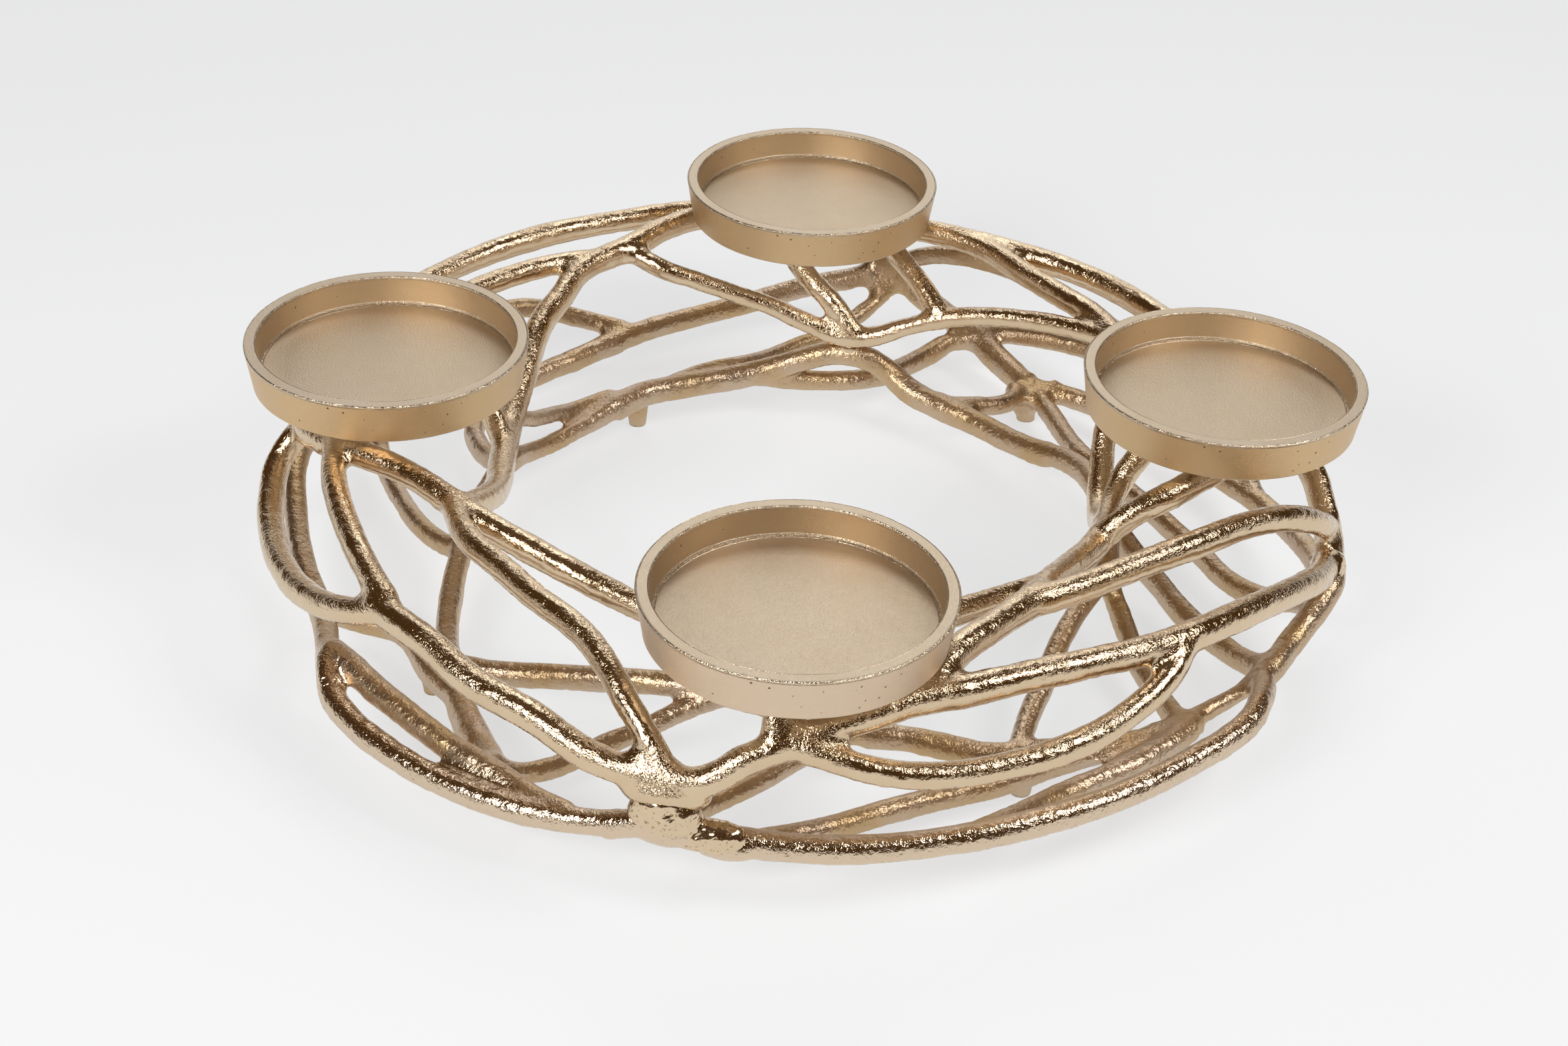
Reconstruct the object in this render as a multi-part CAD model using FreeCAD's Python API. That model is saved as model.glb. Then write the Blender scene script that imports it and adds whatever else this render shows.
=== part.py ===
import FreeCAD, Part
import math
import os

# Advent candle holder: a wreath of two cast branch lattices, one on top of the other, carrying
# four round cups. Millimetres and degrees, +Z up. The origin is on the ground, under the middle
# of the wreath. Bearings turn from +X (the right cup) towards +Y (the back cup).

# ---------------------------------------------------------------- driving dimensions
CUP_RIM_RADIUS = 46.0
CUP_BASE_RADIUS = 44.0
CUP_BORE_RADIUS = 42.0
CUP_HEIGHT = 14.0
CUP_FLOOR_THICKNESS = 4.0
CUP_EDGE_CHAMFER = 0.6
CUP_CORNER_RADIUS = 1.2
RIM_HEIGHT = 83.0

SIDE_CUP_REACH = 136.5
END_CUP_REACH = 134.0
CUPS = {
    "right": (0, SIDE_CUP_REACH),
    "back": (90, END_CUP_REACH),
    "left": (180, SIDE_CUP_REACH),
    "front": (270, END_CUP_REACH),
}

# The wreath's section: the middle line of its branches lies on this ring-shaped surface.
WREATH_RADIUS = 138.5
SECTION_HALF_WIDTH = 36.5
EQUATOR_HEIGHT = 32.0
CROWN_RISE = 32.0
BASE_DROP = 21.5

SEAT_RADIUS = 9.0
SEAT_DEPTH = 9.0
POST_THICKNESS = 8.0
POST_ROUTE = [(268.6, 38), (268.4, 54, 1.42)]

# Lumps of weld metal between the two lattices: bearing, radius, height, and half sizes along
# the wreath, across it and upright.
WELDS = [
    (258.8, 175.0, 32.0, (9.0, 5.6, 9.0)),
    (348.0, 176.0, 32.5, (7.5, 5.2, 6.0)),
    (80.0, 102.0, 31.5, (7.0, 4.5, 6.0)),
]

FOOT_TOP_RADIUS = 4.6
FOOT_TIP_RADIUS = 3.1
FOOT_EDGE = 0.8
FEET = [(123.5, 110.5, 14.0), (52, 138.0, 12.0), (215, 138.0, 12.0), (301, 137.0, 12.0)]

ARC_SHARE = 0.45
LEAST_TURN = 0.02
SMALLEST_PIECE = 0.03
SMALLEST_WELD = 0.3

# ---------------------------------------------------------------- the branches
# Each branch has its thickness and the points it passes: the bearing, and the angle round the
# wreath's section (0 the outer equator, 90 the crown, 180 the inner equator, 270 the underside).
# A third number, where there is one, moves the point off that surface: 1.1 is a tenth of the
# section outside it. Each branch is coped to the ones above it in the list.

UPPER_BRANCHES = {
    "upper_left_cup_beam": (9.0, [(180, 92), (184, 52), (190, 60), (196, 78), (204, 100), (212, 112),
                                  (219, 121), (226, 131)]),
    "upper_front_left_rail": (9.3, [(221, 41), (230.5, 41), (236.5, 35), (244.5, 30), (252, 18.5),
                                    (258.5, 17)]),
    "upper_left_outer_loop": (9.0, [(184, 50), (186, 26), (190, 14), (196, 8), (203, 10), (211, 17),
                                    (218, 29), (223, 42)]),
    "upper_left_second_rib": (9.0, [(193, 68), (198, 64), (204, 61), (211, 57), (217, 52), (223, 45)]),
    "upper_front_left_brace": (8.0, [(211, 111), (221, 100), (229, 96), (237, 88), (245.5, 77), (250, 64),
                                     (253, 51), (256, 36), (258.5, 19)]),
    "upper_front_inner_bow": (8.6, [(225, 130), (232.5, 138), (239, 148), (247, 156), (258, 160),
                                    (271, 161), (284, 158), (294, 151, 1.04), (301, 142, 1.02),
                                    (308, 124)]),
    "upper_front_rise": (9.0, [(257, 18), (262, 18), (266, 31), (270.8, 42), (277, 52), (283, 60)]),
    "upper_front_right_rail": (9.5, [(282, 59), (288, 61), (295, 62), (302, 60), (312.5, 53), (322.5, 46),
                                     (329, 39), (336, 28), (342, 16), (348, 4)]),
    "upper_front_right_lower_rail": (8.5, [(270, 40), (274, 33), (278.5, 26), (284, 22), (291, 22),
                                           (298, 24), (305, 31), (311, 40), (315.5, 51)]),
    "upper_right_rise": (9.5, [(284, 60), (287.5, 79), (295, 96), (303, 110), (311, 127), (321, 145),
                               (329, 150), (337, 152)]),
    "upper_right_loop": (9.0, [(302, 109), (308.5, 105), (319, 98), (329.5, 84), (335, 75), (340.5, 62),
                               (345, 46), (348.5, 30), (351.5, 14), (348, 5)]),
    "upper_right_cup_brace": (9.0, [(334, 150), (336.5, 131), (340, 115), (344, 104), (349, 92),
                                    (357, 88)]),
    "upper_right_cup_inner_brace": (8.5, [(336, 152), (346, 162), (353, 158), (356, 146), (359, 126),
                                          (2, 98)]),
    "upper_right_cup_post": (9.0, [(340, 158), (349, 174, 1.02), (358, 181, 1.04), (6, 172), (11, 158),
                                   (14, 144), (13, 118), (8, 96)]),
    "upper_right_outer_post": (9.0, [(2, 88), (4, 62), (359.5, 34), (355.5, 22), (351.5, 10, 1.03),
                                     (348, 3, 1.04)]),
    "upper_back_left_outer_rail": (9.0, [(180, 90), (171, 80), (163, 58), (153, 49, 1.04), (143, 50, 1.04),
                                         (130, 56, 1.03), (118, 58), (107, 61), (99, 73), (90, 91)]),
    "upper_back_left_rail": (9.5, [(92, 90), (105, 82), (113, 92), (121, 105), (131, 112), (138, 124),
                                   (146, 134), (155, 150), (164, 164), (173, 168, 1.06), (183, 166, 1.1),
                                   (195, 159, 1.08), (205, 142, 1.02), (213, 114)]),
    "upper_back_left_fork": (8.5, [(126, 109), (132, 103), (141, 97), (152, 91), (166, 89), (178, 90)]),
    "upper_left_cup_inner_stay": (8.0, [(178, 92), (174, 122), (172, 148), (175, 168, 1.06)]),
    "upper_back_inner_rail": (7.5, [(121, 105), (117, 125), (112, 135), (105, 146), (97, 156), (90, 166),
                                    (82, 174), (76, 171), (69, 160), (60, 147), (51, 137), (41, 127),
                                    (31, 117), (21, 107), (6, 94)]),
    "upper_back_cup_left_leg": (8.0, [(93, 90), (93, 118), (90, 136), (85, 152), (80, 171)]),
    "upper_back_cup_right_leg": (8.0, [(86, 91), (79, 100), (73, 120), (68, 134), (63, 148)]),
    "upper_back_right_rail": (9.0, [(88, 89), (76, 87), (66, 87), (56, 85), (47, 81), (36, 79), (26, 80),
                                    (14, 86), (3, 89)]),
    "upper_back_right_inner_rail": (8.5, [(69, 87), (61, 93), (53, 103), (43, 108), (36, 109), (27, 113)]),
    "upper_front_cup_crosspiece": (9.0, [(277, 53), (273, 74), (270, 92), (268, 122), (266, 159)]),
}

LOWER_BRANCHES = {
    "lower_left_outer_rail": (8.5, [(255, 338, 1.09), (250, 332, 1.15), (244, 330, 1.22), (236, 330, 1.27),
                                    (228, 330, 1.28), (222, 331, 1.26), (218.5, 333, 1.2), (216, 339, 1.06),
                                    (211, 327, 0.98), (202, 312), (193.5, 316), (184, 325), (174, 342),
                                    (164, 343)]),
    "lower_back_left_outer_rail": (7.8, [(167, 344), (155, 342), (140, 340), (129, 338), (122, 317),
                                         (116.5, 298)]),
    "lower_front_outer_rail": (8.5, [(253, 335, 1.12), (258.5, 347, 1.06), (263, 339, 1.05),
                                     (268, 332, 1.08), (275, 331, 1.1), (284, 331, 1.09), (294, 334, 1.08),
                                     (306, 334, 1.08), (314, 336, 1.08), (318.4, 338.5, 1.1),
                                     (322, 341, 1.09), (325, 341, 1.03), (328, 332, 1.01), (330.5, 325)]),
    "lower_right_weld_strut": (8.8, [(331.5, 319), (335, 323.5), (338.6, 328), (341.4, 337.5),
                                     (343.8, 353, 1.03), (346.5, 0, 1.07), (349, 358, 1.05)]),
    "lower_right_outer_rail": (8.6, [(346, 357, 1.04), (355.5, 336), (3.5, 322), (10, 313), (17, 303),
                                     (26, 297), (36, 290), (45, 284), (52, 276)]),
    "lower_left_second_rail": (8.5, [(213.5, 341, 0.93), (216.6, 341, 0.89), (221.5, 336, 0.89),
                                     (226.4, 335, 0.89), (229.5, 334, 0.91), (234.9, 331.5, 0.95),
                                     (239.7, 330, 0.99), (244.5, 328, 1.08), (249, 331, 1.14)]),
    "lower_inner_ring_left": (8.2, [(238.5, 322, 0.94), (235.3, 302), (230.8, 290), (224.8, 277),
                                    (217.5, 264), (210, 253), (203, 242), (195, 231), (185, 219),
                                    (176, 206), (168, 199, 1.04), (161, 207, 1.15), (153, 213, 1.26),
                                    (145, 214, 1.3), (137, 216, 1.28), (129, 217, 1.2)]),
    "lower_inner_ring_back": (9.4, [(133, 216, 1.26), (124, 220, 1.2), (112, 218, 1.22), (104, 217, 1.19),
                                    (97, 211, 1.12), (90, 199, 1.05), (84, 191), (78, 191), (73, 206, 1.02),
                                    (67, 216, 1.2), (58, 218, 1.28), (47, 218, 1.32), (37, 216, 1.28),
                                    (29, 213, 1.16)]),
    "lower_inner_ring_right": (8.6, [(33, 214, 1.2), (21.5, 207, 1.04), (11, 200), (1, 196), (353, 199),
                                     (344, 206)]),
    "lower_left_cup_strut": (8.0, [(118, 289), (124, 284), (133, 281), (143, 277), (150.5, 266), (156, 249),
                                   (162, 226, 1.04), (167, 200)]),
    "lower_left_cross_strut": (7.4, [(156, 338), (161, 306), (167, 287), (174, 268), (181.5, 252),
                                     (188, 237), (192, 226)]),
    "lower_front_left_foot_strut": (7.5, [(202, 311), (203.5, 290), (207.5, 273), (215, 273), (222, 275)]),
    "lower_front_left_cross_strut": (6.9, [(239, 316), (241, 291), (243, 270), (245, 255), (248, 242),
                                           (252, 226), (258, 210)]),
    "lower_front_inner_bow": (8.4, [(216, 264), (221.5, 251.6), (227.4, 238), (233.4, 227), (240, 218),
                                    (249, 209), (258, 207), (268, 212), (276, 221), (282, 230), (287, 235),
                                    (292, 243), (297, 254), (302, 261), (307, 268), (311, 278)]),
    "lower_front_weld_strut": (6.5, [(258.5, 340, 1.05), (260, 288), (264, 268), (268, 254), (272, 242),
                                     (278, 230), (283, 232)]),
    "lower_front_right_strut": (7.6, [(267, 329, 1.06), (270, 311), (275, 296), (281, 283), (288, 277),
                                      (296, 276), (306, 276), (314, 285), (319, 295), (324, 300),
                                      (329, 310.5), (333, 321)]),
    "lower_front_right_wide_strut": (8.0, [(288, 332, 1.08), (294, 315), (300, 303), (305.7, 301),
                                           (310.3, 302), (314.7, 303), (318.5, 303), (322.5, 301)]),
    "lower_front_right_cross_strut": (7.6, [(343, 206), (333, 202), (325, 207), (318.5, 217), (312, 231),
                                            (307.5, 241), (302, 258)]),
    "lower_right_cross_strut": (7.4, [(346, 204), (342, 215), (337, 231), (333, 243), (329, 256),
                                      (325, 275), (321, 296)]),
    "lower_right_second_cross_strut": (8.4, [(3, 196), (358.5, 219), (354, 235), (350, 247), (345.8, 258.6),
                                             (342, 273), (339, 287), (337, 297), (334.5, 314)]),
    "lower_right_third_cross_strut": (7.8, [(51.5, 273), (45, 258), (36, 240), (28, 232), (20, 241),
                                            (15, 248), (8, 257), (1.5, 269), (355, 281), (351.6, 293.5),
                                            (349.5, 307), (347.5, 322), (343.5, 342)]),
    "lower_back_left_strut": (6.2, [(130.5, 218, 1.1), (135.7, 217.6, 1.09), (140, 215.5, 1.07),
                                    (150.3, 197.8), (157, 184), (163, 172.6), (168, 168),
                                    (173, 168, 1.04)]),
    "lower_back_cross_strut": (7.0, [(117, 220, 1.15), (109, 222, 1.05), (102, 229), (96, 252), (91, 270),
                                     (87, 282), (83, 302), (80.5, 322), (79, 348)]),
    "lower_back_outer_rail": (8.6, [(128, 282), (118, 291), (112, 297), (106, 302), (100, 309), (95, 317),
                                    (90, 327), (82, 342), (78.4, 356), (75, 7), (71, 12), (66, 14), (60, 9),
                                    (53, 358), (44, 343), (35, 330)]),
    "lower_back_right_strut": (9.4, [(79, 350), (76.2, 335), (72.9, 324), (69.3, 314), (66, 306), (61, 292),
                                     (57, 283), (51.5, 273)]),
    "lower_back_inner_strut": (8.0, [(66.5, 302), (69, 292), (70.5, 279), (73.5, 249), (77, 222, 1.12),
                                     (84, 220, 1.22), (92, 220, 1.24), (101, 218, 1.16)]),
    "lower_back_right_outer_rail": (8.0, [(66, 307), (62, 313), (56, 320), (49, 325), (40, 327), (30, 325),
                                          (20, 318), (11, 312)]),
    "lower_back_right_foot_strut": (7.2, [(53, 268), (52, 240), (56, 222, 1.16), (60, 218, 1.26)]),
}


# ---------------------------------------------------------------- geometry helpers
def at_bearing(bearing, radius, height):
    turn = math.radians(bearing)
    return FreeCAD.Vector(radius * math.cos(turn), radius * math.sin(turn), height)


def wreath_point(bearing, angle, swell=1.0):
    """The point of the wreath's section at a bearing and a section angle."""
    turn = math.radians(angle)
    rise = CROWN_RISE if math.sin(turn) >= 0 else BASE_DROP
    radius = WREATH_RADIUS + swell * SECTION_HALF_WIDTH * math.cos(turn)
    return at_bearing(bearing, radius, EQUATOR_HEIGHT + swell * rise * math.sin(turn))


def rounded_path(points):
    """A wire of straight runs joined by tangent arcs."""
    edges = []
    start = points[0]
    for before, corner, after in zip(points, points[1:], points[2:]):
        to_before = before - corner
        to_after = after - corner
        shorter = min(to_before.Length, to_after.Length)
        to_before.normalize()
        to_after.normalize()
        turn = to_after.getAngle(to_before * -1)
        if turn < LEAST_TURN:
            edges.append(Part.LineSegment(start, corner).toShape())
            start = corner
            continue
        setback = ARC_SHARE * shorter
        entry = corner + to_before * setback
        leave = corner + to_after * setback
        radius = setback / math.tan(turn / 2)
        bisector = (to_before + to_after).normalize()
        middle = corner + bisector * (radius / math.cos(turn / 2) - radius)
        edges.append(Part.LineSegment(start, entry).toShape())
        edges.append(Part.Arc(entry, middle, leave).toShape())
        start = leave
    edges.append(Part.LineSegment(start, points[-1]).toShape())
    return Part.Wire(edges)


def branch(thickness, route):
    """A round branch along a route over the wreath."""
    points = [wreath_point(*stop) for stop in route]
    path = rounded_path(points)
    section = Part.Wire(Part.makeCircle(thickness / 2, points[0], points[1] - points[0]))
    solid = path.makePipeShell([section], True, False)
    expected = path.Length * math.pi * thickness ** 2 / 4
    if abs(solid.Volume / expected - 1) > 0.02:
        print("check the sweep", round(solid.Volume), round(expected))
    return solid


def touching(shape, others):
    return [other for other in others if shape.BoundBox.intersect(other.BoundBox)]


def coped(shape, others, smallest=SMALLEST_PIECE):
    """The shape with the others cut out of it, and without the crumbs that leaves."""
    near = touching(shape, others)
    if near:
        shape = shape.cut(near)
    largest = max(solid.Volume for solid in shape.Solids)
    kept = [solid for solid in shape.Solids if solid.Volume > smallest * largest]
    return kept[0] if len(kept) == 1 else Part.makeCompound(kept)


# ---------------------------------------------------------------- the pieces
def cup(bearing, reach):
    """A turned cup: tapered outside, straight bore, flat rim with broken edges."""
    foot = RIM_HEIGHT - CUP_HEIGHT
    floor = foot + CUP_FLOOR_THICKNESS
    edge = CUP_EDGE_CHAMFER
    corner = CUP_CORNER_RADIUS
    sweep = corner * (1 - math.sqrt(0.5))
    start = FreeCAD.Vector(0, 0, foot)
    outline = [
        FreeCAD.Vector(CUP_BASE_RADIUS - edge, 0, foot),
        FreeCAD.Vector(CUP_BASE_RADIUS, 0, foot + edge),
        FreeCAD.Vector(CUP_RIM_RADIUS, 0, RIM_HEIGHT - edge),
        FreeCAD.Vector(CUP_RIM_RADIUS - edge, 0, RIM_HEIGHT),
        FreeCAD.Vector(CUP_BORE_RADIUS + edge, 0, RIM_HEIGHT),
        FreeCAD.Vector(CUP_BORE_RADIUS, 0, RIM_HEIGHT - edge),
        FreeCAD.Vector(CUP_BORE_RADIUS, 0, floor + corner),
    ]
    inside = FreeCAD.Vector(CUP_BORE_RADIUS - corner, 0, floor)
    edges = [Part.LineSegment(a, b).toShape() for a, b in zip([start] + outline, outline)]
    bend = FreeCAD.Vector(CUP_BORE_RADIUS - sweep, 0, floor + sweep)
    edges.append(Part.Arc(outline[-1], bend, inside).toShape())
    centre = FreeCAD.Vector(0, 0, floor)
    edges.append(Part.LineSegment(inside, centre).toShape())
    edges.append(Part.LineSegment(centre, start).toShape())
    face = Part.Face(Part.Wire(edges))
    body = face.revolve(FreeCAD.Vector(0, 0, 0), FreeCAD.Vector(0, 0, 1), 360)
    body.translate(at_bearing(bearing, reach, 0))
    return body


def seat(bearing, reach, branches):
    """The pad of filler metal that joins a cup's underside to the branches beneath it."""
    top = RIM_HEIGHT - CUP_HEIGHT
    pad = Part.makeCone(SEAT_RADIUS * 0.8, SEAT_RADIUS, SEAT_DEPTH, at_bearing(bearing, reach, top - SEAT_DEPTH))
    return coped(pad, branches)


def foot(bearing, radius, top, branches):
    """A tapered peg with a rounded tip, under a lower branch."""
    peg = Part.makeCone(FOOT_TIP_RADIUS, FOOT_TOP_RADIUS, top, at_bearing(bearing, radius, 0))
    tip = [edge for edge in peg.Edges if edge.BoundBox.ZMax < 0.01]
    peg = peg.makeFillet(FOOT_EDGE, tip)
    peg = peg.cut(touching(peg, branches))
    return min(peg.Solids, key=lambda solid: solid.BoundBox.ZMin)


def blob(bearing, radius, height, size, others):
    """A lump of weld metal between two castings: a ball stretched along the ring and upright."""
    along, across, upright = size
    ball = Part.makeSphere(1.0)
    stretch = FreeCAD.Matrix()
    stretch.scale(across, along, upright)
    ball = ball.transformGeometry(stretch)
    ball.rotate(FreeCAD.Vector(0, 0, 0), FreeCAD.Vector(0, 0, 1), bearing)
    ball.translate(at_bearing(bearing, radius, height))
    return coped(ball, others, SMALLEST_WELD)


def main():
    os.makedirs("parts", exist_ok=True)
    nodes = {name + "_cup": cup(*place) for name, place in CUPS.items()}
    cups = list(nodes.values())

    placed = []
    for name, (thickness, route) in {**UPPER_BRANCHES, **LOWER_BRANCHES}.items():
        solid = coped(branch(thickness, route), placed + cups)
        nodes[name] = solid
        placed.append(solid)

    nodes["feet"] = Part.makeCompound([foot(*place, placed) for place in FEET])
    seats = [seat(*place, placed) for place in CUPS.values()]
    seats.append(coped(branch(POST_THICKNESS, POST_ROUTE), placed + cups))
    nodes["cup_seats"] = Part.makeCompound(seats)
    nodes["welds"] = Part.makeCompound([blob(*place, placed) for place in WELDS])

    for name, shape in nodes.items():
        shape.exportStep("parts/" + name + ".step")
        print(name, "solids", len(shape.Solids), "volume", round(shape.Volume), "valid", shape.isValid())


main()
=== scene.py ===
import bpy
import math
import random
from mathutils import Matrix, Vector, kdtree


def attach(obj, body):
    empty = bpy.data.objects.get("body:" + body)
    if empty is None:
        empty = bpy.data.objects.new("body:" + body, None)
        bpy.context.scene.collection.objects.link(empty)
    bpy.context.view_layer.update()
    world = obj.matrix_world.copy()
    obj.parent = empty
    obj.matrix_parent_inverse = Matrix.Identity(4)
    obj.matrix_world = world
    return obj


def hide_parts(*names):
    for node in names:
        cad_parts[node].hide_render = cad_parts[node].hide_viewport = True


# Advent candle holder: two cast branch lattices, one on top of the other, with four turned cups.
# Metres, +Z up. Bearings are in degrees and turn from +X (the right cup) towards +Y (the back cup).

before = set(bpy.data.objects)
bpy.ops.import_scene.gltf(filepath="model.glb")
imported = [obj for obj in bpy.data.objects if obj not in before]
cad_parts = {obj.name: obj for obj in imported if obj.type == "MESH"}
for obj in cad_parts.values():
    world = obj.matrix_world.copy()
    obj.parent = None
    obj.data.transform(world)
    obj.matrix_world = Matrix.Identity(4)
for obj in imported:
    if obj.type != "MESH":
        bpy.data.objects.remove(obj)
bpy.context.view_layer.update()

MM = 0.001

# ---------------------------------------------------------------- sizes, as in the CAD model
CUP_RIM_RADIUS = 46.0 * MM
CUP_BASE_RADIUS = 44.0 * MM
CUP_BORE_RADIUS = 42.0 * MM
CUP_FLOOR_RADIUS = 41.1 * MM
CUP_FOOT_HEIGHT = 69.0 * MM
CUP_FLOOR_HEIGHT = 73.0 * MM
RIM_HEIGHT = 83.0 * MM
SIDE_CUP_REACH = 136.5 * MM
END_CUP_REACH = 134.0 * MM
CUPS = {
    "right": (0, SIDE_CUP_REACH),
    "back": (90, END_CUP_REACH),
    "left": (180, SIDE_CUP_REACH),
    "front": (270, END_CUP_REACH),
}

# The ring that the wreath's branches lie on, and the section of its skin, in millimetres.
WREATH_RADIUS = 138.5
SECTION_HALF_WIDTH = 36.5
EQUATOR_HEIGHT = 32.0
CROWN_RISE = 32.0
BASE_DROP = 21.5

# The feet: bearing, radius and height of the top, in millimetres.
FEET = [(123.5, 110.5, 14.0), (52, 138.0, 12.0), (215, 138.0, 12.0), (301, 137.0, 12.0)]
FOOT_TOP_RADIUS = 4.6
FOOT_TIP_RADIUS = 3.2
FOOT_SPARE = 2.0  # below the ground, cut off with the casting

# The pads of metal between the crown and the cups, in millimetres.
SEAT_RADIUS = 9.0
SEAT_LOW_RADIUS = 7.2
SEAT_DEPTH = 9.0

# How far the raw branches are made oversize before they are worn back, which rounds the crotches:
# little along the branches, more near their ends, most where the real casting has a broad web.
FILLET = 0.35 * MM
JUNCTION_FILLET = 2.2 * MM
WEB_FILLET = 6.0 * MM
JUNCTION_CORE = 4.0 * MM
JUNCTION_REACH = 10.0 * MM
WEB_CORE = 7.0 * MM
WEB_REACH = 17.0 * MM

# How fine the castings' skin is, the share of its faces that is kept, and its waves and pits.
GRAIN = 0.9 * MM
KEPT_FACES = 0.64
SKIN_WAVE_SIZE = 12.0 * MM
SKIN_WAVE_HEIGHT = 0.4 * MM
SKIN_PIT_SIZE = 3.0 * MM
SKIN_PIT_DEPTH = 0.3 * MM
THINNEST_GIRTH = 0.92
THICKEST_GIRTH = 1.01
UPPER_SEED = 11
LOWER_SEED = 23

# Branch ends that run in beside another branch, where a long narrow gap stays open.
OPEN_ENDS = ("lower_left_second_rail", "lower_left_outer_rail", "lower_back_left_strut",
             "lower_inner_ring_left", "lower_back_inner_strut", "lower_inner_ring_back",
             "upper_back_left_fork", "upper_front_inner_bow")

# Broad webs: bearing, angle round the section, how far out of the section's surface, and the
# fillet in millimetres.
UPPER_WEBS = [(257.5, 24, 1.0, 4.5), (187, 62, 1.0, 3.6), (223, 41, 1.0, 3.6), (285, 60, 1.0, 3.6),
              (303, 108, 1.0, 3.0), (270, 42, 1.05, 4.5), (338, 153, 1.0, 3.5), (90, 90, 1.0, 4.0),
              (80, 172, 1.0, 3.0), (70, 86, 1.0, 3.6), (122, 105, 1.0, 3.0)]
LOWER_WEBS = [(237, 312, 0.95, 4.0), (282, 231, 1.0, 4.0), (51.5, 273, 1.0, 6.5), (333, 320, 1.0, 3.4),
              (318, 302, 1.0, 5.5), (311, 292, 1.0, 4.0), (67, 305, 1.0, 5.5), (79.5, 340, 1.0, 6.5),
              (72, 290, 1.0, 3.4), (57, 222, 1.2, 4.0), (130, 217, 1.2, 3.4), (217, 262, 1.0, 4.0),
              (3, 196, 1.0, 3.5), (344, 205, 1.0, 3.5), (118, 290, 1.0, 4.0)]

# ---------------------------------------------------------------- the branches
# Thickness in millimetres, then the points the branch passes: bearing, angle round the wreath's
# section (0 outer equator, 90 crown, 180 inner equator, 270 underside) and, where there are any,
# how far out of the section's surface it lies and how thick it is there beside the rest.

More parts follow.
